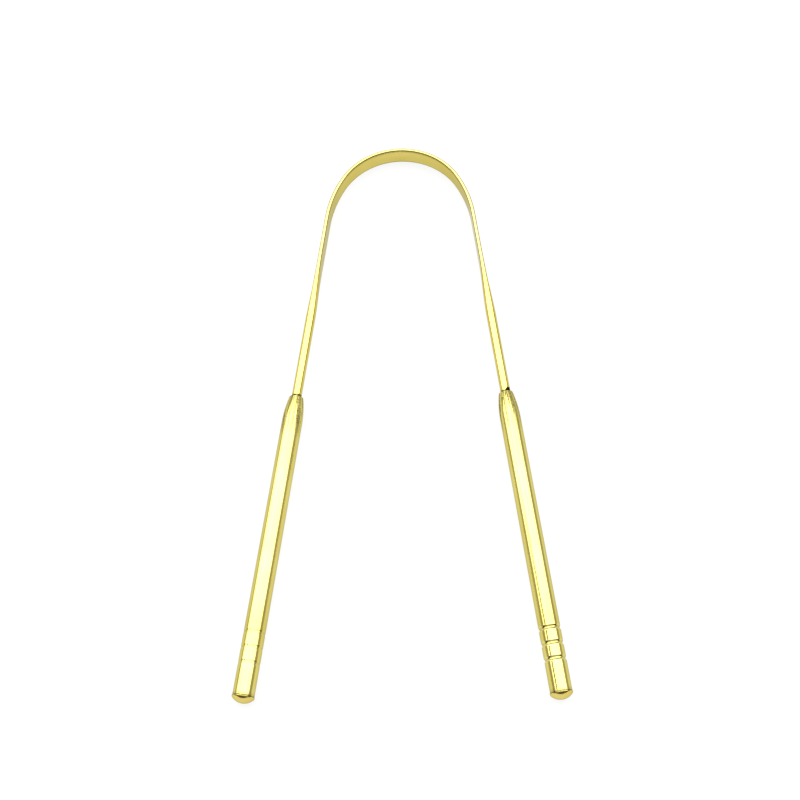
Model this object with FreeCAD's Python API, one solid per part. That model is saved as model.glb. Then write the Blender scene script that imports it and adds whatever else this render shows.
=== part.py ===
# Tongue scraper: a bow of spring wire, rolled flat over its crown, with a tubular handle on each leg.
# It lies flat. X runs across, Y from the handle ends towards the crown, Z up. Sizes in millimetres.
import FreeCAD, Part
import math
import os
from FreeCAD import Placement, Rotation, Vector

# Bow: one round wire whose middle is rolled flat into the blade
wire_diameter = 2.4
blade_thickness = 0.95
blade_width = 5.2
crown_radius = 17.4
crown_half_degrees = 60.0
shoulder_radius = 32.0
splay_degrees = 7.4
flat_leg_length = 10.0
flattening_length = 20.0
round_leg_length = 21.5
shank_length = 12.0
flattening_shares = (0.0, 0.25, 0.5, 0.75, 1.0)

# Handle: a tube drawn in to the wire at its neck, with rings rolled in near its end
tube_diameter = 5.0
tube_wall = 0.5
tube_length = 74.0
mouth_diameter = 3.5
mouth_rounding = 0.15
neck_length = 7.0
neck_grip_length = 4.0
neck_flare_length = 4.0
wire_clearance = 0.03
ring_count = 3
ring_pitch = 3.5
ring_width = 0.9
ring_depth = 0.22
last_ring_to_end = 7.4

# End plug: a domed head on a shank that is pressed into the tube
plug_head_diameter = 5.2
plug_rim_height = 0.25
plug_dome_height = 1.25
plug_shank_length = 5.0
plug_clearance = 0.02

# A section's side counts as straight when its middle strays less than this share of the blade's thickness
straight_share = 1e-6

up = Vector(0, 0, 1)
wire_radius = wire_diameter / 2
tube_radius = tube_diameter / 2
tube_bore_radius = tube_radius - tube_wall
mouth_radius = mouth_diameter / 2
grip_radius = wire_radius + wire_clearance
head_radius = plug_head_diameter / 2
crown_half = math.radians(crown_half_degrees)
splay = math.radians(splay_degrees)

# Places along the right leg, seen from above, with the crown's centre as origin
crown_end_ray = Vector(math.sin(crown_half), math.cos(crown_half), 0)
crown_end = crown_end_ray * crown_radius
shoulder_centre = crown_end_ray * (crown_radius - shoulder_radius)
shoulder_end = shoulder_centre + Vector(math.cos(splay), math.sin(splay), 0) * shoulder_radius
leg_direction = Vector(math.sin(splay), -math.cos(splay), 0)
flat_end = shoulder_end + leg_direction * flat_leg_length
round_start = flat_end + leg_direction * flattening_length
mouth = round_start + leg_direction * round_leg_length
tube_end = mouth + leg_direction * tube_length

# The whole part is centred on its length and lies on its lowest points
dome_radius = (head_radius ** 2 + plug_dome_height ** 2) / (2 * plug_dome_height)
dome_centre = tube_end + leg_direction * (plug_rim_height + plug_dome_height - dome_radius)
blade_core = blade_width - blade_thickness
rest_height = max(blade_width / 2, head_radius)
mid_length = (crown_radius + blade_thickness / 2 + dome_centre.y - dome_radius) / 2
rest_shift = Vector(0, -mid_length, rest_height)


def edge_through(start, middle, end):
    if (middle - (start + end) / 2).Length < blade_thickness * straight_share:
        return Part.makeLine(start, end)
    return Part.Arc(start, middle, end).toShape()


# A closed section of the wire across its path: round_share 0 is the blade, 1 the round wire
def wire_section(place, tangent, round_share):
    def blend(flat_size, round_size):
        return flat_size + (round_size - flat_size) * round_share

    outward = Vector(-tangent.y, tangent.x, 0)
    corner_out = blend(blade_thickness / 2, wire_radius * math.sqrt(0.5))
    corner_up = blend(blade_core / 2, wire_radius * math.sqrt(0.5))
    face = blend(blade_thickness / 2, wire_radius)
    rim = blend(blade_width / 2, wire_radius)

    def point(out_reach, up_reach):
        return place + outward * out_reach + up * up_reach

    outer_low = point(corner_out, -corner_up)
    outer_high = point(corner_out, corner_up)
    inner_high = point(-corner_out, corner_up)
    inner_low = point(-corner_out, -corner_up)
    return Part.Wire([
        edge_through(outer_low, point(face, 0), outer_high),
        edge_through(outer_high, point(0, rim), inner_high),
        edge_through(inner_high, point(-face, 0), inner_low),
        edge_through(inner_low, point(0, -rim), outer_low),
    ])


def smooth(share):
    return share * share * (3 - 2 * share)


# The stretch of leg over which the blade turns back into round wire
def flattening():
    sections = []
    for share in flattening_shares:
        place = flat_end + leg_direction * (flattening_length * share)
        sections.append(wire_section(place, leg_direction, smooth(share)))
    return Part.makeLoft(sections, True, False)


def right_half_bow():
    crown_face = Part.Face(wire_section(Vector(0, crown_radius, 0), Vector(1, 0, 0), 0))
    crown = crown_face.revolve(Vector(0, 0, 0), up, -crown_half_degrees)
    crown_end_tangent = Vector(crown_end_ray.y, -crown_end_ray.x, 0)
    shoulder_face = Part.Face(wire_section(crown_end, crown_end_tangent, 0))
    shoulder = shoulder_face.revolve(shoulder_centre, up, crown_half_degrees + splay_degrees - 90)
    flat_leg = Part.Face(wire_section(shoulder_end, leg_direction, 0)).extrude(leg_direction * flat_leg_length)
    round_leg = Part.makeCylinder(wire_radius, round_leg_length + shank_length, round_start, leg_direction)
    return crown.fuse([shoulder, flat_leg, flattening(), round_leg])


def scraper_bow():
    half = right_half_bow()
    return half.fuse(half.mirror(Vector(0, 0, 0), Vector(1, 0, 0))).removeSplitter()


# Turns a profile, drawn as radius and distance from the mouth, about the right leg's axis
def turned(edges):
    solid = Part.Face(Part.Wire(edges)).revolve(Vector(0, 0, 0), up, 360)
    solid.Placement = Placement(mouth, Rotation(up, leg_direction))
    return solid


def profile_point(radius, distance):
    return Vector(radius, 0, distance)


def polyline(points):
    return [Part.makeLine(a, b) for a, b in zip(points, points[1:])]


# The neck's outline: a rounded lip, then an arc that runs out into the tube's side
def neck_outline():
    lip_inner = profile_point(mouth_radius - mouth_rounding, 0)
    lip_outer = profile_point(mouth_radius, mouth_rounding)
    lip_bend = mouth_rounding * (1 - math.sqrt(0.5))
    lip_middle = profile_point(mouth_radius - lip_bend, lip_bend)
    drop = tube_radius - mouth_radius
    run = neck_length - mouth_rounding
    arc_radius = (run ** 2 + drop ** 2) / (2 * drop)
    half_turn = math.asin(run / arc_radius) / 2
    middle = profile_point(tube_radius - arc_radius * (1 - math.cos(half_turn)),
                           neck_length - arc_radius * math.sin(half_turn))
    neck_end = profile_point(tube_radius, neck_length)
    return [Part.Arc(lip_inner, lip_middle, lip_outer).toShape(), Part.Arc(lip_outer, middle, neck_end).toShape()]


# The tube's side from the neck to its end, with the rolled rings
def ringed_side():
    edges = []
    start = profile_point(tube_radius, neck_length)
    for ring in range(ring_count):
        centre = tube_length - last_ring_to_end - (ring_count - 1 - ring) * ring_pitch
        ring_start = profile_point(tube_radius, centre - ring_width / 2)
        ring_end = profile_point(tube_radius, centre + ring_width / 2)
        floor = profile_point(tube_radius - ring_depth, centre)
        edges += [Part.makeLine(start, ring_start), Part.Arc(ring_start, floor, ring_end).toShape()]
        start = ring_end
    return edges + [Part.makeLine(start, profile_point(tube_radius, tube_length))]


def handle():
    bore = polyline([
        profile_point(tube_radius, tube_length),
        profile_point(tube_bore_radius, tube_length),
        profile_point(tube_bore_radius, neck_grip_length + neck_flare_length),
        profile_point(grip_radius, neck_grip_length),
        profile_point(grip_radius, 0),
        profile_point(mouth_radius - mouth_rounding, 0),
    ])
    return turned(neck_outline() + ringed_side() + bore)


def end_plug():
    rim_end = tube_length + plug_rim_height
    tip = profile_point(0, rim_end + plug_dome_height)
    dome_start = profile_point(head_radius, rim_end)
    half_turn = math.asin(head_radius / dome_radius) / 2
    dome_middle = profile_point(dome_radius * math.sin(half_turn),
                                tip.z - dome_radius * (1 - math.cos(half_turn)))
    shank_radius = tube_bore_radius - plug_clearance
    shank_start = tube_length - plug_shank_length
    outline = polyline([
        tip,
        profile_point(0, shank_start),
        profile_point(shank_radius, shank_start),
        profile_point(shank_radius, tube_length),
        profile_point(head_radius, tube_length),
        dome_start,
    ])
    return turned(outline + [Part.Arc(dome_start, dome_middle, tip).toShape()])


def export(name, shape):
    placed = shape.copy()
    placed.translate(rest_shift)
    placed.exportStep("parts/" + name + ".step")


os.makedirs("parts", exist_ok=True)
export("scraper_bow", scraper_bow())
for piece_name, piece in (("handle", handle()), ("end_plug", end_plug())):
    export("right_" + piece_name, piece)
    export("left_" + piece_name, piece.mirror(Vector(0, 0, 0), Vector(1, 0, 0)))
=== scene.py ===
import math

import bmesh
import bpy
from mathutils import Matrix, Vector


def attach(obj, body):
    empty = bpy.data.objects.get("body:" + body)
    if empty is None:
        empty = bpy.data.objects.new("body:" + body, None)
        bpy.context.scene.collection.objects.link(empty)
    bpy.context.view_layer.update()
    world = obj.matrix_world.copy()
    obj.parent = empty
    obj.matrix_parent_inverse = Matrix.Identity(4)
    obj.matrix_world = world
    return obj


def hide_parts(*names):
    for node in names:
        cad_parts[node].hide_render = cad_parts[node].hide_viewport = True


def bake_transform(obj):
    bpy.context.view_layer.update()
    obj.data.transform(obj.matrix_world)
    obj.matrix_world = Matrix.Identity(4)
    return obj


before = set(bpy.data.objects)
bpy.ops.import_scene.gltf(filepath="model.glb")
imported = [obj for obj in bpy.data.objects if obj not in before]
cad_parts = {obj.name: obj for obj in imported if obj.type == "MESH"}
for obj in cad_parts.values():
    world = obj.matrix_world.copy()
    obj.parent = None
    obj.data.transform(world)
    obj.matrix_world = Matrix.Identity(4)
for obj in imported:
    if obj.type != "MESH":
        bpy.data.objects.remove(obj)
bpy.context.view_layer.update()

print("frame loaded:", ", ".join(sorted(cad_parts)))

# All sizes are in millimetres until the last step of each tree, which scales to metres
mm = 0.001
weldGap = 0.0005
turn = 2 * math.pi
quarter = math.pi / 2
sides = {"right": 1.0, "left": -1.0}


def toLinear(hexColour):
    parts = [int(hexColour[i:i + 2], 16) / 255 for i in (1, 3, 5)]
    return [p / 12.92 if p <= 0.04045 else ((p + 0.055) / 1.055) ** 2.4 for p in parts] + [1.0]


# Adds a node to any tree: its settings first, then a link or a plain value for each input
def addNode(tree, kind, settings={}, inputs={}):
    node = tree.nodes.new(kind)
    for name, value in settings.items():
        if name == "capture_items":
            for item in value:
                node.capture_items.new(*item)
        else:
            setattr(node, name, value)
    for key, value in inputs.items():
        if isinstance(value, bpy.types.Node):
            value = value.outputs[0]
        if isinstance(value, bpy.types.NodeSocket):
            tree.links.new(value, node.inputs[key])
        else:
            node.inputs[key].default_value = value
    return node


# A geometry tree with one named input for each size
def startTree(name, sizes):
    tree = bpy.data.node_groups.new(name, "GeometryNodeTree")
    tree.is_modifier = True
    tree.interface.new_socket("Geometry", in_out="INPUT", socket_type="NodeSocketGeometry")
    tree.interface.new_socket("Geometry", in_out="OUTPUT", socket_type="NodeSocketGeometry")
    sockets = {}
    for label, value in sizes.items():
        kind = "Vector" if hasattr(value, "__len__") else "Int" if isinstance(value, int) else "Float"
        socket = tree.interface.new_socket(label, in_out="INPUT", socket_type="NodeSocket" + kind)
        sockets[label] = socket.identifier
    return tree, sockets


# Last steps that both trees share: pattern attributes with the painted shade, smooth shading, metres, material
def endTree(tree, geometry, place, lay, wear, grime, material):
    for name, kind, value in (("lay", "FLOAT_VECTOR", lay), ("wear", "FLOAT", wear), ("grime", "FLOAT", grime)):
        geometry = addNode(tree, "GeometryNodeStoreNamedAttribute", {"data_type": kind, "domain": "POINT"},
                           {"Geometry": geometry, "Name": name, "Value": value})
    geometry = addNode(tree, "GeometryNodeSetPosition", {}, {"Geometry": geometry, "Position": place})
    geometry = addNode(tree, "GeometryNodeMergeByDistance", {}, {"Geometry": geometry, "Distance": weldGap})
    # Only the wire's end caps have more than four corners, and they stay flat
    corners = addNode(tree, "GeometryNodeInputMeshFaceNeighbors").outputs["Vertex Count"]
    plain = addNode(tree, "FunctionNodeCompare", {"data_type": "INT", "operation": "LESS_EQUAL"}, {2: corners, 3: 4})
    geometry = addNode(tree, "GeometryNodeSetShadeSmooth", {}, {"Geometry": geometry, "Shade Smooth": plain})
    geometry = addNode(tree, "GeometryNodeTransform", {}, {"Geometry": geometry, "Scale": (mm, mm, mm)})
    geometry = addNode(tree, "GeometryNodeRealizeInstances", {}, {"Geometry": geometry})
    geometry = addNode(tree, "GeometryNodeSetMaterial", {}, {"Geometry": geometry, "Material": material})
    addNode(tree, "NodeGroupOutput", {}, {"Geometry": geometry})


# Runs a tree on a line of points and leaves a plain mesh at the origin
def growPiece(name, points, closed, reach, tree, sockets, sizes):
    curve = bpy.data.curves.new(name + "Line", "CURVE")
    curve.dimensions = "3D"
    spline = curve.splines.new("POLY")
    spline.points.add(len(points) - 1)
    for spot, place, share in zip(spline.points, points, reach):
        spot.co = (*place, 1.0)
        spot.radius = share
    spline.use_cyclic_u = closed
    line = bpy.data.objects.new(name + "Line", curve)
    bpy.context.scene.collection.objects.link(line)
    modifier = line.modifiers.new("grow", "NODES")
    modifier.node_group = tree
    for label, value in sizes.items():
        modifier[sockets[label]] = value
    graph = bpy.context.evaluated_depsgraph_get()
    mesh = bpy.data.meshes.new_from_object(line.evaluated_get(graph), preserve_all_data_layers=True, depsgraph=graph)
    line.modifiers.remove(modifier)
    bpy.data.objects.remove(line)
    mesh.name = name
    shell = bmesh.new()
    shell.from_mesh(mesh)
    bmesh.ops.recalc_face_normals(shell, faces=shell.faces)
    if shell.calc_volume(signed=True) < 0:
        bmesh.ops.reverse_faces(shell, faces=shell.faces)
    shell.to_mesh(mesh)
    volume = shell.calc_volume(signed=True)
    loose = sum(1 for edge in shell.edges if not edge.is_manifold)
    shell.free()
    piece = bpy.data.objects.new(name, mesh)
    bpy.context.scene.collection.objects.link(piece)
    print("%s: %d faces, %d open edges, %.1f cubic mm" % (name, len(mesh.polygons), loose, volume / mm ** 3))
    return piece


# Distances from 0 on, with a step of its own for each stretch: (end, step)
def stationsAlong(stretches):
    stations = [0.0]
    for end, step in stretches:
        start = stations[-1]
        count = max(1, round((end - start) / step))
        stations += [start + (end - start) * i / count for i in range(1, count + 1)]
    return stations


# What the three gold finishes share: the span of noise values that each pattern uses, and how the painted shade lies
finish = {
    "driftFrom": 0.3,
    "driftTo": 0.7,
    "lineFrom": 0.35,
    "lineTo": 0.75,
    "glossFrom": 0.3,
    "glossTo": 0.75,
    "speckleScale": 2.2,
    "speckleFrom": 0.3,
    "speckleTo": 0.6,
    "thinnestShade": 0.35,
    "shadeRoughness": 0.5,
}


# Gold titanium nitride on polished stainless steel: mirror bright, with faint lines where the metal was
# drawn or turned, slow drifts of tone in the coating, and painted brown shade in the grooves and seams
def makeGold(name, look):
    material = bpy.data.materials.new(name)
    material.use_nodes = True
    tree = material.node_tree
    tree.nodes.clear()
    lay = addNode(tree, "ShaderNodeAttribute", {"attribute_name": "lay"}).outputs["Vector"]
    grime = addNode(tree, "ShaderNodeAttribute", {"attribute_name": "grime"}).outputs["Fac"]
    wear = addNode(tree, "ShaderNodeAttribute", {"attribute_name": "wear"}).outputs["Fac"]
    # Lines along the metal's own run, lay's third number, finer across than along
    stretched = addNode(tree, "ShaderNodeMapping", {}, {"Vector": lay, "Scale": look["lineScale"]})
    lines = addNode(tree, "ShaderNodeTexNoise", {}, {"Vector": stretched, "Scale": 1.0, "Detail": 3.0,
                                                     "Roughness": 0.6, "Distortion": 0.15})
    # Slow waves left by drawing and buffing, which make the reflections wander
    rolled = addNode(tree, "ShaderNodeMapping", {}, {"Vector": lay, "Scale": look["waveScale"]})
    waves = addNode(tree, "ShaderNodeTexNoise", {}, {"Vector": rolled, "Scale": 1.0, "Detail": 1.0})
    # Tone of the coating, from lemon to a deeper gold over a centimetre or two
    drift = addNode(tree, "ShaderNodeTexNoise", {}, {"Vector": lay, "Scale": look["driftScale"], "Detail": 2.0})
    drifted = addNode(tree, "ShaderNodeMapRange", {}, {"Value": drift, "From Min": finish["driftFrom"],
                                                       "From Max": finish["driftTo"]})
    tone = addNode(tree, "ShaderNodeMix", {"data_type": "RGBA"},
                   {0: drifted, 6: toLinear(look["lemon"]), 7: toLinear(look["deep"])})
    streak = addNode(tree, "ShaderNodeMapRange", {}, {"Value": lines, "From Min": finish["lineFrom"],
                                                      "From Max": finish["lineTo"],
                                                      "To Min": 0.0, "To Max": look["lineTone"]})
    lined = addNode(tree, "ShaderNodeMix", {"data_type": "RGBA"},
                    {0: streak, 6: tone.outputs[2], 7: toLinear(look["lineColour"])})
    worn = addNode(tree, "ShaderNodeMath", {"operation": "MULTIPLY"}, {0: wear, 1: look["wearTone"]})
    rubbed = addNode(tree, "ShaderNodeMix", {"data_type": "RGBA"},
                     {0: worn, 6: lined.outputs[2], 7: toLinear(look["rubbed"])})
    # The painted shade lies unevenly; where it lies, the metal is darker brown and rougher
    speckle = addNode(tree, "ShaderNodeTexNoise", {}, {"Vector": lay, "Scale": finish["speckleScale"], "Detail": 4.0})
    patchy = addNode(tree, "ShaderNodeMapRange", {}, {"Value": speckle, "From Min": finish["speckleFrom"],
                                                      "From Max": finish["speckleTo"],
                                                      "To Min": finish["thinnestShade"], "To Max": 1.0})
    paintedShade = addNode(tree, "ShaderNodeMath", {"operation": "MULTIPLY", "use_clamp": True}, {0: grime, 1: patchy})
    darkened = addNode(tree, "ShaderNodeMix", {"data_type": "RGBA"},
                    {0: paintedShade, 6: rubbed.outputs[2], 7: toLinear(look["paintedShade"])})
    gloss = addNode(tree, "ShaderNodeMapRange", {}, {"Value": lines, "From Min": finish["glossFrom"],
                                                     "From Max": finish["glossTo"],
                                                     "To Min": look["smoothest"], "To Max": look["roughest"]})
    matt = addNode(tree, "ShaderNodeMix", {"data_type": "FLOAT"}, {0: paintedShade, 2: gloss, 3: finish["shadeRoughness"]})
    wavy = addNode(tree, "ShaderNodeBump", {}, {"Strength": look["waveStrength"], "Distance": look["waveHeight"] * mm,
                                                "Height": waves})
    lineBump = addNode(tree, "ShaderNodeBump", {}, {"Strength": look["lineStrength"],
                                                    "Distance": look["lineHeight"] * mm,
                                                    "Height": lines, "Normal": wavy})
    # Seen edge on, the coating stays duller and yellower than bare steel
    metal = addNode(tree, "ShaderNodeBsdfPrincipled", {},
                    {"Base Color": darkened.outputs[2], "Metallic": 1.0, "Specular Tint": toLinear(look["edgeTint"]),
                     "Roughness": matt, "Normal": lineBump})
    addNode(tree, "ShaderNodeOutputMaterial", {}, {"Surface": metal})
    return material


# Tones of the coating, where a piece gives none of its own; the darkest is the brown of the painted shade
goldTones = {"lemon": "#DFD37F", "deep": "#D2C268", "lineColour": "#AEA150", "rubbed": "#EDE4B0", "paintedShade": "#1E1504",
             "edgeTint": "#DADAC8"}

# Bow: one spring wire, rolled flat over the crown and left round where the handles grip it
bow = {
    "wireDiameter": 2.4,
    "bladeThickness": 0.95,
    "bladeWidth": 5.2,
    "crownRadius": 17.4,
    "crownHalf": math.radians(60.0),
    "shoulderRadius": 32.0,
    "splay": math.radians(7.4),
    "flatLeg": 10.0,
    "flattening": 20.0,
    "roundLeg": 21.5,
    "shank": 12.0,
    "crownCentre": (0.0, 55.637, 2.6),
    # Painted shade: a darker line along the blade's corners
    "paintedCornerLine": 0.5,
    "cornerFrom": 0.4,
    "cornerTo": 0.7,
    "cornerReachFrom": -0.35,
    "cornerReachTo": -0.05,
    # Painted shade at the handle's mouth: a dark crevice line, widening to a wedge on one side
    "creviceCore": 0.45,
    "creviceLength": 0.75,
    "creviceShade": 1.0,
    "shadeWedgeLength": {"right": 1.25, "left": 0.8},
    "shadeWedgeStrength": {"right": 2.5, "left": 1.15},
    "shadeWedgeHalf": 0.45,
    "shadeWedgeEdge": 0.2,
    "around": 64,
    "topLength": 0.32,
    "beforeMouth": 1.5,
    "pastMouth": 0.3,
    "steps": {"join": 0.02, "top": 0.1, "bends": 0.35, "leg": 0.5, "mouth": 0.1, "shank": 1.0},
}
# Rolled wire shows long fine lines, drawn some five times too coarse so that they show. Its coating is a
# little deeper than the handles'.
bowLook = {**goldTones, "lemon": "#E0D177", "deep": "#D5C05F", "lineColour": "#B29F4A",
           "lineScale": (5.0, 5.0, 0.05), "waveScale": (0.5, 0.5, 0.12), "driftScale": 0.07,
           "lineTone": 0.35, "wearTone": 0.12, "smoothest": 0.07, "roughest": 0.15,
           "waveStrength": 0.3, "waveHeight": 0.03, "lineStrength": 0.12, "lineHeight": 0.01}
bowGold = makeGold("goldCoatedSpringWire", bowLook)

shoulderTurn = quarter - bow["splay"] - bow["crownHalf"]
crownRun = bow["crownRadius"] * bow["crownHalf"]
shoulderRun = bow["shoulderRadius"] * shoulderTurn
flatUntil = crownRun + shoulderRun + bow["flatLeg"]
roundFrom = flatUntil + bow["flattening"]
mouthRun = roundFrom + bow["roundLeg"]
legDirection = Vector((math.sin(bow["splay"]), -math.cos(bow["splay"]), 0))


# A point on the right half's middle line, by its distance from the top of the crown
def legPoint(run):
    crownTurn = min(run, crownRun) / bow["crownRadius"]
    bend = max(0.0, min(run - crownRun, shoulderRun)) / bow["shoulderRadius"]
    half = bow["crownHalf"]
    spot = Vector(bow["crownCentre"]) + Vector((math.sin(crownTurn), math.cos(crownTurn), 0)) * bow["crownRadius"]
    spot += Vector((math.sin(half + bend) - math.sin(half),
                    math.cos(half + bend) - math.cos(half), 0)) * bow["shoulderRadius"]
    return spot + legDirection * max(0.0, run - crownRun - shoulderRun)


def makeBowTree(sizes):
    tree, sockets = startTree("rolledWireBow", sizes)
    given = addNode(tree, "NodeGroupInput").outputs
    spline = addNode(tree, "GeometryNodeSplineParameter").outputs
    path = addNode(tree, "GeometryNodeCaptureAttribute", {"capture_items": [("VECTOR", "Place"), ("FLOAT", "Run")]},
                   {"Geometry": given["Geometry"], "Place": addNode(tree, "GeometryNodeInputPosition"),
                    "Run": spline["Length"]}).outputs
    circle = addNode(tree, "GeometryNodeCurvePrimitiveCircle", {}, {"Resolution": given["Around"]})
    hoop = addNode(tree, "GeometryNodeCaptureAttribute", {"capture_items": [("FLOAT", "Turn")]},
                   {"Geometry": circle, "Turn": spline["Factor"]}).outputs
    sweep = addNode(tree, "GeometryNodeCurveToMesh", {}, {"Curve": path["Geometry"], "Profile Curve": hoop["Geometry"],
                                                          "Fill Caps": True})
    # 0 is the rolled blade, 1 the round wire
    share = addNode(tree, "ShaderNodeMapRange", {"interpolation_type": "SMOOTHSTEP"},
                    {"Value": path["Run"], "From Min": given["Flat Until"], "From Max": given["Round From"]})
    # The blade's section, a quarter of the turn for each: outer face, top edge, inner face, lower edge
    climb = addNode(tree, "ShaderNodeMapRange", {}, {"Value": hoop["Turn"], "From Min": 0.0, "From Max": 0.25,
                                                     "To Min": -0.5, "To Max": 0.5})
    fall = addNode(tree, "ShaderNodeMapRange", {}, {"Value": hoop["Turn"], "From Min": 0.5, "From Max": 0.75,
                                                    "To Min": 0.0, "To Max": -1.0})
    over = addNode(tree, "ShaderNodeMapRange", {}, {"Value": hoop["Turn"], "From Min": 0.25, "From Max": 0.5,
                                                    "To Min": 0.0, "To Max": math.pi})
    under = addNode(tree, "ShaderNodeMapRange", {}, {"Value": hoop["Turn"], "From Min": 0.75, "From Max": 1.0,
                                                     "To Min": 0.0, "To Max": math.pi})
    level = addNode(tree, "ShaderNodeMath", {"operation": "ADD"}, {0: climb, 1: fall})
    bend = addNode(tree, "ShaderNodeMath", {"operation": "ADD"}, {0: over, 1: under})
    core = addNode(tree, "ShaderNodeMath", {"operation": "SUBTRACT"},
                   {0: given["Blade Width"], 1: given["Blade Thickness"]})
    height = addNode(tree, "ShaderNodeMath", {"operation": "MULTIPLY"}, {0: level, 1: core})
    edgeRadius = addNode(tree, "ShaderNodeMath", {"operation": "MULTIPLY"}, {0: given["Blade Thickness"], 1: 0.5})
    edgeReach = addNode(tree, "ShaderNodeCombineXYZ", {}, {"X": edgeRadius})
    edge = addNode(tree, "ShaderNodeVectorRotate", {"rotation_type": "Z_AXIS"}, {"Vector": edgeReach, "Angle": bend})
    lift = addNode(tree, "ShaderNodeCombineXYZ", {}, {"Y": height})
    flat = addNode(tree, "ShaderNodeVectorMath", {"operation": "ADD"}, {0: edge, 1: lift})
    wireRadius = addNode(tree, "ShaderNodeMath", {"operation": "MULTIPLY"}, {0: given["Wire Diameter"], 1: 0.5})
    wireReach = addNode(tree, "ShaderNodeCombineXYZ", {}, {"X": wireRadius})
    # The round section starts at the same corner as the blade's, an eighth of a turn back
    wireTurn = addNode(tree, "ShaderNodeMath", {"operation": "MULTIPLY_ADD"}, {0: hoop["Turn"], 1: turn, 2: -turn / 8})
    wire = addNode(tree, "ShaderNodeVectorRotate", {"rotation_type": "Z_AXIS"},
                   {"Vector": wireReach, "Angle": wireTurn})
    section = addNode(tree, "ShaderNodeMix", {"data_type": "VECTOR"}, {0: share, 4: flat, 5: wire}).outputs[1]
    # Which way is out of the bow, from the turn of the path so far
    crownBend = addNode(tree, "ShaderNodeMapRange", {}, {"Value": path["Run"], "From Max": given["Crown Run"],
                                                         "To Max": given["Crown Half"]})
    shoulderBend = addNode(tree, "ShaderNodeMapRange", {}, {"Value": path["Run"], "From Min": given["Crown Run"],
                                                            "From Max": given["Bends End"],
                                                            "To Max": given["Shoulder Turn"]})
    heading = addNode(tree, "ShaderNodeMath", {"operation": "ADD"}, {0: crownBend, 1: shoulderBend})
    handed = addNode(tree, "ShaderNodeMath", {"operation": "MULTIPLY"}, {0: heading, 1: given["Side"]})
    clockwise = addNode(tree, "ShaderNodeMath", {"operation": "MULTIPLY"}, {0: handed, 1: -1.0})
    outward = addNode(tree, "ShaderNodeVectorRotate", {"rotation_type": "Z_AXIS"},
                      {"Vector": (0.0, 1.0, 0.0), "Angle": clockwise})
    ownPlace = addNode(tree, "ShaderNodeSeparateXYZ", {}, {"Vector": section}).outputs
    aside = addNode(tree, "ShaderNodeVectorMath", {"operation": "SCALE"}, {0: outward, "Scale": ownPlace["X"]})
    upright = addNode(tree, "ShaderNodeCombineXYZ", {}, {"Z": ownPlace["Y"]})
    besides = addNode(tree, "ShaderNodeVectorMath", {"operation": "ADD"}, {0: aside, 1: upright})
    place = addNode(tree, "ShaderNodeVectorMath", {"operation": "ADD"}, {0: path["Place"], 1: besides})
    # Pattern notes: place in the section and along the run, rubbed blade edges
    lay = addNode(tree, "ShaderNodeCombineXYZ", {}, {"X": ownPlace["X"], "Y": ownPlace["Y"], "Z": path["Run"]})
    edgeShare = addNode(tree, "ShaderNodeMath", {"operation": "SINE"}, {0: bend})
    edgeSize = addNode(tree, "ShaderNodeMath", {"operation": "ABSOLUTE"}, {0: edgeShare})
    flatShare = addNode(tree, "ShaderNodeMapRange", {}, {"Value": share, "To Min": 1.0, "To Max": 0.0})
    wear = addNode(tree, "ShaderNodeMath", {"operation": "MULTIPLY"}, {0: edgeSize, 1: flatShare})
    # Painted shade: darker lines along the blade's corners, where its rolled faces meet the rounded edges, in place of
    # the dark reflections there
    faceShare = addNode(tree, "ShaderNodeMath", {"operation": "COSINE"}, {0: bend})
    faceSize = addNode(tree, "ShaderNodeMath", {"operation": "ABSOLUTE"}, {0: faceShare})
    corner = addNode(tree, "ShaderNodeMapRange", {"interpolation_type": "SMOOTHSTEP"},
                     {"Value": faceSize, "From Min": bow["cornerFrom"], "From Max": bow["cornerTo"]})
    fromMiddle = addNode(tree, "ShaderNodeMath", {"operation": "ABSOLUTE"}, {0: ownPlace["Y"]})
    aboveCore = addNode(tree, "ShaderNodeMath", {"operation": "MULTIPLY_ADD"}, {0: core, 1: -0.5, 2: fromMiddle})
    nearEdge = addNode(tree, "ShaderNodeMapRange", {"interpolation_type": "SMOOTHSTEP"},
                       {"Value": aboveCore, "From Min": bow["cornerReachFrom"], "From Max": bow["cornerReachTo"]})
    cornered = addNode(tree, "ShaderNodeMath", {"operation": "MULTIPLY"}, {0: corner, 1: nearEdge})
    onBlade = addNode(tree, "ShaderNodeMath", {"operation": "MULTIPLY"}, {0: cornered, 1: flatShare})
    paintedCornerLine = addNode(tree, "ShaderNodeMath", {"operation": "MULTIPLY"}, {0: onBlade, 1: given["Painted Corner Line"]})
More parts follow.
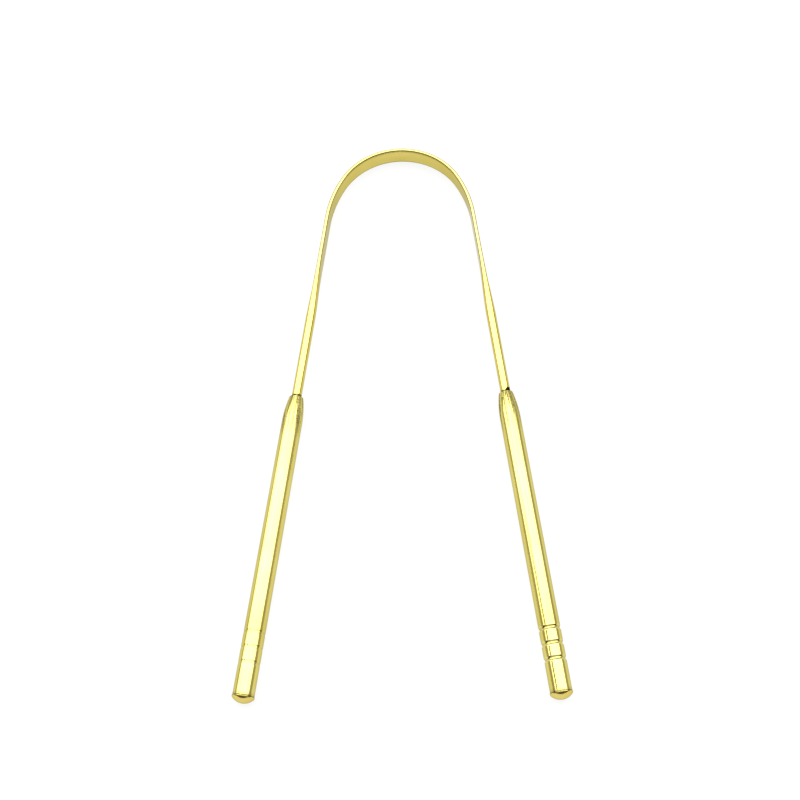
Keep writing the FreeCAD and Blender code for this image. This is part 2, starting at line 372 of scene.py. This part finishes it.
    # Painted shade: a dark line in the crevice at the handle's mouth, widening to a wedge on one side of it
    toMouth = addNode(tree, "ShaderNodeMath", {"operation": "SUBTRACT"}, {0: path["Run"], 1: given["Mouth Run"]})
    apart = addNode(tree, "ShaderNodeMath", {"operation": "ABSOLUTE"}, {0: toMouth})
    crevice = addNode(tree, "ShaderNodeMapRange", {"interpolation_type": "SMOOTHSTEP"},
                      {"Value": apart, "From Min": bow["creviceCore"], "From Max": given["Crevice Length"],
                       "To Min": given["Crevice Shade"], "To Max": 0.0})
    facing = addNode(tree, "ShaderNodeMath", {"operation": "MULTIPLY"}, {0: ownPlace["X"], 1: given["Side"]})
    wedge = addNode(tree, "ShaderNodeMapRange", {},
                    {"Value": facing, "From Min": -bow["shadeWedgeHalf"], "From Max": bow["shadeWedgeHalf"],
                     "To Min": 0.0, "To Max": given["Residue Length"]})
    depth = addNode(tree, "ShaderNodeMath", {"operation": "SUBTRACT"}, {0: wedge, 1: apart})
    wedgeShade = addNode(tree, "ShaderNodeMapRange", {}, {"Value": depth, "From Max": bow["shadeWedgeEdge"],
                                                    "To Max": given["Residue Dirt"]})
    mouthShade = addNode(tree, "ShaderNodeMath", {"operation": "MAXIMUM"}, {0: crevice, 1: wedgeShade})
    grime = addNode(tree, "ShaderNodeMath", {"operation": "MAXIMUM"}, {0: mouthShade, 1: paintedCornerLine})
    endTree(tree, sweep, place, lay, wear, grime, bowGold)
    return tree, sockets


def makeBow():
    sizes = {
        "Around": bow["around"],
        "Wire Diameter": bow["wireDiameter"],
        "Blade Thickness": bow["bladeThickness"],
        "Blade Width": bow["bladeWidth"],
        "Crown Run": crownRun,
        "Crown Half": bow["crownHalf"],
        "Bends End": crownRun + shoulderRun,
        "Shoulder Turn": shoulderTurn,
        "Flat Until": flatUntil,
        "Round From": roundFrom,
        "Mouth Run": mouthRun,
        "Painted Corner Line": bow["paintedCornerLine"],
        "Crevice Length": bow["creviceLength"],
        "Crevice Shade": bow["creviceShade"],
        "Residue Length": 0.0,
        "Residue Dirt": 0.0,
        "Side": 1.0,
    }
    tree, sockets = makeBowTree(sizes)
    # Close stations where the two halves meet and at the handle's mouth
    steps = bow["steps"]
    stations = stationsAlong([
        (steps["join"], steps["join"]),
        (bow["topLength"], steps["top"]),
        (crownRun + shoulderRun, steps["bends"]),
        (mouthRun - bow["beforeMouth"], steps["leg"]),
        (mouthRun + bow["pastMouth"], steps["mouth"]),
        (mouthRun + bow["shank"], steps["shank"]),
    ])
    straight = legPoint(flatUntil)
    for sideName, side in sides.items():
        mirror = Vector((side, 1, 1))
        points = [legPoint(run) * mirror for run in stations]
        sizes["Side"] = side
        sizes["Residue Length"] = bow["shadeWedgeLength"][sideName]
        sizes["Residue Dirt"] = bow["shadeWedgeStrength"][sideName]
        half = growPiece(sideName + "BowHalf", points, False, [1.0] * len(points), tree, sockets, sizes)
        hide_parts("scraper_bow")
        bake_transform(half)


makeBow()

# Handle: a drawn tube, swaged in to the wire at its mouth, with three rolled rings near its end
tube = {
    "diameter": 5.0,
    "wall": 0.5,
    "length": 74.0,
    "mouthDiameter": 3.5,
    "lipRounding": 0.15,
    "neckLength": 7.0,
    "gripBore": 2.46,
    "gripLength": 4.0,
    "flareLength": 4.0,
    "mouthChamfer": 0.14,
    "ringCount": 3,
    "ringPitch": 3.5,
    "ringWidth": 1.0,
    "ringDepth": {"right": 0.22, "left": 0.05},  # the left one was rolled more lightly
    # Painted shade at the bottom of the rings
    "ringShade": 0.1,
    "ringShadePower": 3.0,
    "rubByDepth": 4.5,
    "rubWidth": 0.25,
    "lastRingToEnd": 7.4,
    "endRounding": 0.12,
    "creaseDepth": 0.03,
    "creaseLength": 12.0,
    "creaseScale": 3.8,
    "creaseWidth": 0.075,
    "creaseWander": 0.015,
    # Painted shade in the neck's creases, at the lip and at the seam under the plug's head
    "creaseShade": 4.0,
    "mostCreaseShade": 0.8,
    "lipShade": 0.5,
    "lipShadeWidth": 0.14,
    "seamWidth": 0.16,
    "seamShade": 1.5,
    "around": 256,
    "lipSteps": 8,
    "neckSteps": 44,
    "endSteps": 6,
    "sideStep": 2.0,
    "ringStep": 0.06,
    "endStep": 0.8,
    "seed": 4.0,
}
lastRingAt = tube["length"] - tube["lastRingToEnd"]
firstRingAt = lastRingAt - (tube["ringCount"] - 1) * tube["ringPitch"]
# Drawn tube: long faint lines, with the slow ripple that buffing leaves; drawn coarse enough to show
tubeLook = {**goldTones, "lineScale": (4.0, 4.0, 0.035), "waveScale": (0.35, 0.35, 0.07), "driftScale": 0.06,
            "lineTone": 0.3, "wearTone": 0.35, "smoothest": 0.09, "roughest": 0.18,
            "waveStrength": 0.35, "waveHeight": 0.05, "lineStrength": 0.12, "lineHeight": 0.01}
tubeGold = makeGold("goldCoatedDrawnTube", tubeLook)

# End plug: a turned head with a shallow dome, pressed into the tube
plug = {
    "headDiameter": 5.2,
    "rimHeight": 0.25,
    "domeHeight": 1.25,
    "rimRounding": 0.16,
    "underRounding": 0.07,
    "shankLength": 5.0,
    "shankClearance": 0.02,
    "shankChamfer": 0.3,
    "domeSteps": 28,
    "cornerSteps": 8,
}
# Turned and buffed: rings about the plug's own middle, and a coating a little warmer than the tube's
plugLook = {**goldTones, "lemon": "#E2D07A", "deep": "#D8BD60", "lineColour": "#B59C4A",
            "lineScale": (2.5, 2.5, 9.0), "waveScale": (0.5, 0.5, 0.5), "driftScale": 0.1,
            "lineTone": 0.25, "wearTone": 0.4, "smoothest": 0.09, "roughest": 0.18,
            "waveStrength": 0.25, "waveHeight": 0.03, "lineStrength": 0.1, "lineHeight": 0.01}
plugGold = makeGold("goldCoatedTurnedPlug", plugLook)


# Turns a profile of (radius, distance from the mouth) about the handle's axis, rolls the rings in and presses
# the neck's creases. A profile point's own radius says how far those reach: 1 outside, 0 in the bore.
def makeTurnedTree(name, sizes, material):
    tree, sockets = startTree(name, sizes)
    given = addNode(tree, "NodeGroupInput").outputs
    spline = addNode(tree, "GeometryNodeSplineParameter").outputs
    profile = addNode(tree, "GeometryNodeCaptureAttribute",
                      {"capture_items": [("VECTOR", "Place"), ("FLOAT", "Reach")]},
                      {"Geometry": given["Geometry"], "Place": addNode(tree, "GeometryNodeInputPosition"),
                       "Reach": addNode(tree, "GeometryNodeInputRadius")}).outputs
    circle = addNode(tree, "GeometryNodeCurvePrimitiveCircle", {}, {"Resolution": given["Around"]})
    hoop = addNode(tree, "GeometryNodeCaptureAttribute", {"capture_items": [("FLOAT", "Turn")]},
                   {"Geometry": circle, "Turn": spline["Factor"]}).outputs
    sweep = addNode(tree, "GeometryNodeCurveToMesh", {},
                    {"Curve": hoop["Geometry"], "Profile Curve": profile["Geometry"]})
    drawn = addNode(tree, "ShaderNodeSeparateXYZ", {}, {"Vector": profile["Place"]}).outputs
    radius, distance = drawn["X"], drawn["Y"]
    # Distance to the nearest ring
    fromFirst = addNode(tree, "ShaderNodeMath", {"operation": "SUBTRACT"}, {0: distance, 1: given["First Ring"]})
    pitches = addNode(tree, "ShaderNodeMath", {"operation": "DIVIDE"}, {0: fromFirst, 1: given["Ring Pitch"]})
    whole = addNode(tree, "ShaderNodeMath", {"operation": "ROUND"}, {0: pitches})
    lastRing = addNode(tree, "ShaderNodeMath", {"operation": "SUBTRACT"}, {0: given["Ring Count"], 1: 1.0})
    ring = addNode(tree, "ShaderNodeClamp", {}, {"Value": whole, "Min": 0.0, "Max": lastRing})
    ringPlace = addNode(tree, "ShaderNodeMath", {"operation": "MULTIPLY"}, {0: ring, 1: given["Ring Pitch"]})
    aside = addNode(tree, "ShaderNodeMath", {"operation": "SUBTRACT"}, {0: fromFirst, 1: ringPlace})
    apart = addNode(tree, "ShaderNodeMath", {"operation": "ABSOLUTE"}, {0: aside})
    halfRing = addNode(tree, "ShaderNodeMath", {"operation": "MULTIPLY"}, {0: given["Ring Width"], 1: 0.5})
    # A round-bottomed groove, steepest at its shoulders
    inRing = addNode(tree, "ShaderNodeMapRange", {}, {"Value": apart, "From Max": halfRing})
    hollow = addNode(tree, "ShaderNodeMath", {"operation": "MULTIPLY"}, {0: inRing, 1: inRing})
    rolled = addNode(tree, "ShaderNodeMath", {"operation": "SUBTRACT"}, {0: 1.0, 1: hollow})
    groove = addNode(tree, "ShaderNodeMath", {"operation": "MULTIPLY"}, {0: rolled, 1: profile["Reach"]})
    # Creases of the swaged neck, deepest at the mouth: they run where a slow noise crosses its middle value
    angle = addNode(tree, "ShaderNodeMath", {"operation": "MULTIPLY"}, {0: hoop["Turn"], 1: turn})
    spoke = addNode(tree, "ShaderNodeVectorRotate", {"rotation_type": "Z_AXIS"},
                    {"Vector": (1.0, 0.0, 0.0), "Angle": angle})
    wander = addNode(tree, "ShaderNodeMath", {"operation": "MULTIPLY_ADD"},
                     {0: distance, 1: tube["creaseWander"], 2: given["Seed"]})
    noise = addNode(tree, "ShaderNodeTexNoise", {"noise_dimensions": "4D"},
                    {"Vector": spoke, "W": wander, "Scale": given["Crease Scale"], "Detail": 1.0, "Roughness": 0.6})
    fromMiddle = addNode(tree, "ShaderNodeMath", {"operation": "SUBTRACT"}, {0: noise, 1: 0.5})
    sideGap = addNode(tree, "ShaderNodeMath", {"operation": "ABSOLUTE"}, {0: fromMiddle})
    valley = addNode(tree, "ShaderNodeMapRange", {"interpolation_type": "SMOOTHSTEP"},
                     {"Value": sideGap, "From Max": given["Crease Width"], "To Min": 1.0, "To Max": 0.0})
    fade = addNode(tree, "ShaderNodeMapRange", {"interpolation_type": "SMOOTHSTEP"},
                   {"Value": distance, "From Max": given["Crease Length"], "To Min": 1.0, "To Max": 0.0})
    dent = addNode(tree, "ShaderNodeMath", {"operation": "MULTIPLY"}, {0: valley, 1: fade})
    pressed = addNode(tree, "ShaderNodeMath", {"operation": "MULTIPLY"}, {0: dent, 1: profile["Reach"]})
    crease = addNode(tree, "ShaderNodeMath", {"operation": "MULTIPLY"}, {0: pressed, 1: given["Crease Depth"]})
    cut = addNode(tree, "ShaderNodeMath", {"operation": "MULTIPLY_ADD"},
                  {0: groove, 1: given["Ring Depth"], 2: crease})
    finished = addNode(tree, "ShaderNodeMath", {"operation": "SUBTRACT"}, {0: radius, 1: cut})
    out = addNode(tree, "ShaderNodeVectorMath", {"operation": "SCALE"}, {0: spoke, "Scale": finished})
    turned = addNode(tree, "ShaderNodeSeparateXYZ", {}, {"Vector": out}).outputs
    lay = addNode(tree, "ShaderNodeCombineXYZ", {}, {"X": turned["X"], "Y": turned["Y"], "Z": distance})
    sideways = addNode(tree, "ShaderNodeVectorMath", {"operation": "SCALE"},
                       {0: given["Across"], "Scale": turned["X"]})
    upright = addNode(tree, "ShaderNodeCombineXYZ", {}, {"Z": turned["Y"]})
    onward = addNode(tree, "ShaderNodeVectorMath", {"operation": "SCALE"}, {0: given["Axis"], "Scale": distance})
    besides = addNode(tree, "ShaderNodeVectorMath", {"operation": "ADD"}, {0: sideways, 1: upright})
    along = addNode(tree, "ShaderNodeVectorMath", {"operation": "ADD"}, {0: onward, 1: besides})
    place = addNode(tree, "ShaderNodeVectorMath", {"operation": "ADD"}, {0: given["Mouth"], 1: along})
    # Painted shade at the bottom of the rings, at the seam, in the creases and at the lip; rubbed metal on the rings'
    # shoulders
    deep = addNode(tree, "ShaderNodeMath", {"operation": "POWER"}, {0: groove, 1: tube["ringShadePower"]})
    toSeam = addNode(tree, "ShaderNodeMath", {"operation": "SUBTRACT"}, {0: distance, 1: given["Seam"]})
    seamGap = addNode(tree, "ShaderNodeMath", {"operation": "ABSOLUTE"}, {0: toSeam})
    seam = addNode(tree, "ShaderNodeMapRange", {}, {"Value": seamGap, "From Max": given["Seam Width"],
                                                    "To Min": given["Seam Shade"], "To Max": 0.0})
    lip = addNode(tree, "ShaderNodeMapRange", {}, {"Value": distance, "From Max": given["Lip Shade Width"],
                                                   "To Min": 1.0, "To Max": 0.0})
    streaked = addNode(tree, "ShaderNodeMath", {"operation": "MULTIPLY"}, {0: pressed, 1: given["Crease Shade"]})
    streak = addNode(tree, "ShaderNodeMath", {"operation": "MINIMUM"}, {0: streaked, 1: given["Most Crease Shade"]})
    creased = addNode(tree, "ShaderNodeMath", {"operation": "ADD"}, {0: streak, 1: seam})
    lipped = addNode(tree, "ShaderNodeMath", {"operation": "MULTIPLY_ADD"}, {0: lip, 1: given["Lip Shade"], 2: creased})
    grime = addNode(tree, "ShaderNodeMath", {"operation": "MULTIPLY_ADD"}, {0: deep, 1: given["Ring Shade"], 2: lipped})
    shoulder = addNode(tree, "ShaderNodeMath", {"operation": "SUBTRACT"}, {0: apart, 1: halfRing})
    shoulderGap = addNode(tree, "ShaderNodeMath", {"operation": "ABSOLUTE"}, {0: shoulder})
    rub = addNode(tree, "ShaderNodeMath", {"operation": "MULTIPLY"},
                  {0: given["Ring Depth"], 1: given["Rub by Depth"]})
    wear = addNode(tree, "ShaderNodeMapRange", {}, {"Value": shoulderGap, "From Max": tube["rubWidth"],
                                                    "To Min": rub, "To Max": 0.0})
    endTree(tree, sweep, place, lay, wear, grime, material)
    return tree, sockets


# Points of an arc about a centre, as (radius, distance), from one angle to another
def arcPoints(centre, size, start, end, steps):
    angles = [start + (end - start) * i / steps for i in range(steps + 1)]
    return [(centre[0] + size * math.cos(a), centre[1] + size * math.sin(a)) for a in angles]


# The tube's outline: out round the lip, down the neck and side, in round the end, and back up the bore
def tubeProfile():
    side = tube["diameter"] / 2
    mouth = tube["mouthDiameter"] / 2
    lip = tube["lipRounding"]
    bore = side - tube["wall"]
    grip = tube["gripBore"] / 2
    outside = arcPoints((mouth - lip, lip), lip, -quarter, 0.0, tube["lipSteps"])
    drop = side - mouth
    run = tube["neckLength"] - lip
    sweep = (run ** 2 + drop ** 2) / (2 * drop)
    sweepStart = -math.asin(run / sweep)
    outside += arcPoints((side - sweep, tube["neckLength"]), sweep, sweepStart, 0.0, tube["neckSteps"])[1:]
    shoulder = tube["ringWidth"]
    end = tube["endRounding"]
    levels = stationsAlong([
        (tube["neckLength"], tube["neckLength"]),
        (firstRingAt - shoulder, tube["sideStep"]),
        (lastRingAt + shoulder, tube["ringStep"]),
        (tube["length"] - end, tube["endStep"]),
    ])
    # The first two levels belong to the neck
    outside += [(side, level) for level in levels[2:]]
    inside = arcPoints((side - end, tube["length"] - end), end, 0.0, quarter, tube["endSteps"])[1:]
    flare = tube["gripLength"] + tube["flareLength"]
    chamfer = tube["mouthChamfer"]
    inside += [(bore, tube["length"]), (bore, flare), (grip, tube["gripLength"]), (grip, 2 * chamfer),
               (grip + chamfer, 0.0)]
    return outside, inside


# The plug's outline, from the dome's tip to the middle of its inner end
def plugProfile():
    head = plug["headDiameter"] / 2
    rise = plug["domeHeight"]
    seat = tube["length"]
    rim = seat + plug["rimHeight"]
    dome = (head ** 2 + rise ** 2) / (2 * rise)
    centre = (0.0, rim + rise - dome)
    edge = math.acos(head / dome)
    points = arcPoints(centre, dome, quarter, edge + plug["rimRounding"] / dome, plug["domeSteps"])
    # Soft corners: a short curve from the edge before to the edge after
    for corner, after, size in (((head, rim), (head, seat), plug["rimRounding"]),
                                ((head, seat), (0.0, seat), plug["underRounding"])):
        before = Vector(points[-1])
        middle = Vector(corner)
        beyond = middle + (Vector(after) - middle).normalized() * size
        start = middle + (before - middle).normalized() * min(size, (before - middle).length)
        for i in range(1, plug["cornerSteps"] + 1):
            t = i / plug["cornerSteps"]
            points.append(tuple(start * (1 - t) ** 2 + middle * 2 * t * (1 - t) + beyond * t ** 2))
    shank = tube["diameter"] / 2 - tube["wall"] - plug["shankClearance"]
    foot = seat - plug["shankLength"]
    chamfer = plug["shankChamfer"]
    return points + [(shank, seat), (shank, foot + chamfer), (shank - chamfer, foot), (0.0, foot)]


def makeHandles():
    sizes = {
        "Around": tube["around"],
        "Ring Count": tube["ringCount"],
        "Ring Pitch": tube["ringPitch"],
        "First Ring": firstRingAt,
        "Ring Width": tube["ringWidth"],
        "Ring Depth": 0.0,
        "Ring Shade": tube["ringShade"],
        "Rub by Depth": tube["rubByDepth"],
        "Crease Depth": tube["creaseDepth"],
        "Crease Length": tube["creaseLength"],
        "Crease Scale": tube["creaseScale"],
        "Crease Width": tube["creaseWidth"],
        "Crease Shade": tube["creaseShade"],
        "Most Crease Shade": tube["mostCreaseShade"],
        "Lip Shade": tube["lipShade"],
        "Lip Shade Width": tube["lipShadeWidth"],
        "Seed": tube["seed"],
        "Seam": tube["length"],
        "Seam Width": tube["seamWidth"],
        "Seam Shade": tube["seamShade"],
        "Mouth": (0.0, 0.0, 0.0),
        "Axis": (0.0, -1.0, 0.0),
        "Across": (1.0, 0.0, 0.0),
    }
    tubeTree, tubeSockets = makeTurnedTree("ringedHandleTube", sizes, tubeGold)
    plugTree, plugSockets = makeTurnedTree("domedEndPlug", sizes, plugGold)
    outside, inside = tubeProfile()
    tubePoints = [(*spot, 0.0) for spot in outside + inside]
    tubeReach = [1.0] * len(outside) + [0.0] * len(inside)
    plugPoints = [(*spot, 0.0) for spot in plugProfile()]
    plugReach = [0.0] * len(plugPoints)
    for sideName, side in sides.items():
        mirror = Vector((side, 1, 1))
        axis = legDirection * mirror
        sizes["Mouth"] = tuple(legPoint(mouthRun) * mirror)
        sizes["Axis"] = tuple(axis)
        sizes["Across"] = tuple(axis.cross(Vector((0, 0, 1))))
        sizes["Seed"] = tube["seed"] + side
        sizes["Ring Depth"] = tube["ringDepth"][sideName]
        handle = growPiece(sideName + "GripTube", tubePoints, True, tubeReach, tubeTree, tubeSockets, sizes)
        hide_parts(sideName + "_handle")
        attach(handle, sideName + "_arm")
        end = growPiece(sideName + "DomedPlug", plugPoints, False, plugReach, plugTree, plugSockets, sizes)
        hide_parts(sideName + "_end_plug")
        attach(end, sideName + "_arm")


makeHandles()

# Studio: a lit white table under a light tent that is bright overhead, weaker behind and dark in front and
# along the horizon, with one low panel behind on the left and a dark clamp on its frame
studio = {
    "floorSize": 6.0,
    "floorCells": 8,
    "floorColour": "#626261",
    "floorGlow": 0.86,
    "grainScale": 700.0,
    "grainTone": 0.985,
    "tentLight": 4.7,
    "tentFrom": 0.36,
    "tentTo": 0.62,
    "horizonLight": 0.5,
    "backFrom": 0.44,
    "backTo": 0.97,
    "backLight": 0.1,
    "frontFrom": 0.15,
    "frontTo": -0.25,
    "frontLight": 0.18,
    "panelPlace": (-0.78, 0.46, 0.42),
    "panelFrom": 0.95,
    "panelTo": 0.975,
    "panelLight": 1.3,
    "clampPlace": (-0.69, 0.135, 0.7),
    "clampFrom": 0.985,
    "clampTo": 0.9965,
    "clampShade": 0.05,
    "foldScale": 2.5,
    "foldFrom": 0.3,
    "foldTo": 0.7,
    "foldDepth": 0.3,
    "backdrop": "#FFFFFF",
}


# Matt white table top, lit from below: an even white without an edge, its grain too fine to see from afar
def makeFloor():
    material = bpy.data.materials.new("mattWhiteSweep")
    material.use_nodes = True
    tree = material.node_tree
    tree.nodes.clear()
    place = addNode(tree, "ShaderNodeTexCoord").outputs["Object"]
    grain = addNode(tree, "ShaderNodeTexNoise", {}, {"Vector": place, "Scale": studio["grainScale"], "Detail": 3.0})
    pale = Vector(toLinear(studio["floorColour"]))
    shade = addNode(tree, "ShaderNodeMix", {"data_type": "RGBA"}, {0: grain, 6: pale * studio["grainTone"], 7: pale})
    matt = addNode(tree, "ShaderNodeBsdfDiffuse", {}, {"Color": shade.outputs[2]})
    glow = addNode(tree, "ShaderNodeEmission", {}, {"Strength": studio["floorGlow"]})
    both = addNode(tree, "ShaderNodeAddShader", {}, {0: matt, 1: glow})
    addNode(tree, "ShaderNodeOutputMaterial", {}, {"Surface": both})
    mesh = bpy.data.meshes.new("studioFloor")
    sheet = bmesh.new()
    cells = studio["floorCells"]
    bmesh.ops.create_grid(sheet, x_segments=cells, y_segments=cells, size=studio["floorSize"] / 2)
    sheet.to_mesh(mesh)
    sheet.free()
    mesh.materials.append(material)
    floor = bpy.data.objects.new("studioFloor", mesh)
    bpy.context.scene.collection.objects.link(floor)


def makeLight():
    world = bpy.data.worlds.new("lightTent")
    bpy.context.scene.world = world
    world.use_nodes = True
    tree = world.node_tree
    tree.nodes.clear()
    away = addNode(tree, "ShaderNodeTexCoord").outputs["Generated"]
    part = addNode(tree, "ShaderNodeSeparateXYZ", {}, {"Vector": away}).outputs
    soft = {"interpolation_type": "SMOOTHSTEP"}
    tent = addNode(tree, "ShaderNodeMapRange", soft,
                   {"Value": part["Z"], "From Min": studio["tentFrom"], "From Max": studio["tentTo"],
                    "To Min": 0.0, "To Max": studio["tentLight"] - studio["horizonLight"]})
    behind = addNode(tree, "ShaderNodeMapRange", soft,
                     {"Value": part["Y"], "From Min": studio["backFrom"], "From Max": studio["backTo"],
                      "To Min": 1.0, "To Max": studio["backLight"]})
    front = addNode(tree, "ShaderNodeMapRange", soft,
                    {"Value": part["Y"], "From Min": studio["frontTo"], "From Max": studio["frontFrom"],
                     "To Min": studio["frontLight"], "To Max": 1.0})
    # The tent's cloth hangs in slow folds
    folds = addNode(tree, "ShaderNodeTexNoise", {}, {"Vector": away, "Scale": studio["foldScale"], "Detail": 1.0})
    uneven = addNode(tree, "ShaderNodeMapRange", {}, {"Value": folds, "From Min": studio["foldFrom"],
                                                      "From Max": studio["foldTo"],
                                                      "To Min": 1.0 - studio["foldDepth"], "To Max": 1.0})
    panelPlace = tuple(Vector(studio["panelPlace"]).normalized())
    toPanel = addNode(tree, "ShaderNodeVectorMath", {"operation": "DOT_PRODUCT"},
                      {0: away, 1: panelPlace}).outputs["Value"]
    panel = addNode(tree, "ShaderNodeMapRange", soft,
                    {"Value": toPanel, "From Min": studio["panelFrom"], "From Max": studio["panelTo"],
                     "To Min": 0.0, "To Max": studio["panelLight"]})
    # A dark clamp on the tent's frame, which the right handle mirrors as a thin grey streak
    clampPlace = tuple(Vector(studio["clampPlace"]).normalized())
    toClamp = addNode(tree, "ShaderNodeVectorMath", {"operation": "DOT_PRODUCT"},
                      {0: away, 1: clampPlace}).outputs["Value"]
    clamp = addNode(tree, "ShaderNodeMapRange", soft,
                    {"Value": toClamp, "From Min": studio["clampFrom"], "From Max": studio["clampTo"],
                     "To Min": 1.0, "To Max": studio["clampShade"]})
    folded = addNode(tree, "ShaderNodeMath", {"operation": "MULTIPLY"}, {0: tent, 1: uneven})
    overhead = addNode(tree, "ShaderNodeMath", {"operation": "MULTIPLY_ADD"},
                       {0: folded, 1: behind, 2: studio["horizonLight"]})
    shaded = addNode(tree, "ShaderNodeMath", {"operation": "MULTIPLY"}, {0: overhead, 1: front})
    clamped = addNode(tree, "ShaderNodeMath", {"operation": "MULTIPLY"}, {0: shaded, 1: clamp})
    level = addNode(tree, "ShaderNodeMath", {"operation": "ADD"}, {0: clamped, 1: panel})
    tentGlow = addNode(tree, "ShaderNodeBackground", {}, {"Color": (1.0, 1.0, 1.0, 1.0), "Strength": level})
    backdrop = addNode(tree, "ShaderNodeBackground", {}, {"Color": toLinear(studio["backdrop"]), "Strength": 1.0})
    seen = addNode(tree, "ShaderNodeLightPath").outputs["Is Camera Ray"]
    both = addNode(tree, "ShaderNodeMixShader", {}, {0: seen, 1: tentGlow, 2: backdrop})
    addNode(tree, "ShaderNodeOutputWorld", {}, {"Surface": both})
    bpy.context.scene.view_settings.view_transform = "Standard"


makeFloor()
makeLight()
print("studio set")

# Camera: as the photographer held it, in millimetres and degrees
shot = {
    "place": (13.049, -136.196, 290.25),
    "pitch": 25.466,
    "yaw": 5.494,
    "roll": -6.223,
    "lens": 58.5,
    "sensor": 36.0,
    "shift": -0.0006,
    "near": 10.0,
    "far": 20000.0,
}


def makeCamera():
    pitch, yaw, roll = (math.radians(shot[name]) for name in ("pitch", "yaw", "roll"))
    right = Vector((math.cos(yaw), math.sin(yaw), 0))
    ahead = Vector((-math.sin(yaw), math.cos(yaw), 0))
    above = ahead * math.cos(pitch) + Vector((0, 0, math.sin(pitch)))
    back = Vector((0, 0, math.cos(pitch))) - ahead * math.sin(pitch)
    rolledRight = right * math.cos(roll) + above * math.sin(roll)
    rolledAbove = above * math.cos(roll) - right * math.sin(roll)
    data = bpy.data.cameras.new("shot")
    data.sensor_width = shot["sensor"]
    data.lens = shot["lens"]
    data.shift_x = shot["shift"]
    data.clip_start = shot["near"] * mm
    data.clip_end = shot["far"] * mm
    camera = bpy.data.objects.new("shot", data)
    facing = Matrix((rolledRight, rolledAbove, back)).transposed().to_4x4()
    camera.matrix_world = Matrix.Translation(Vector(shot["place"]) * mm) @ facing
    bpy.context.scene.collection.objects.link(camera)
    bpy.context.scene.camera = camera


makeCamera()
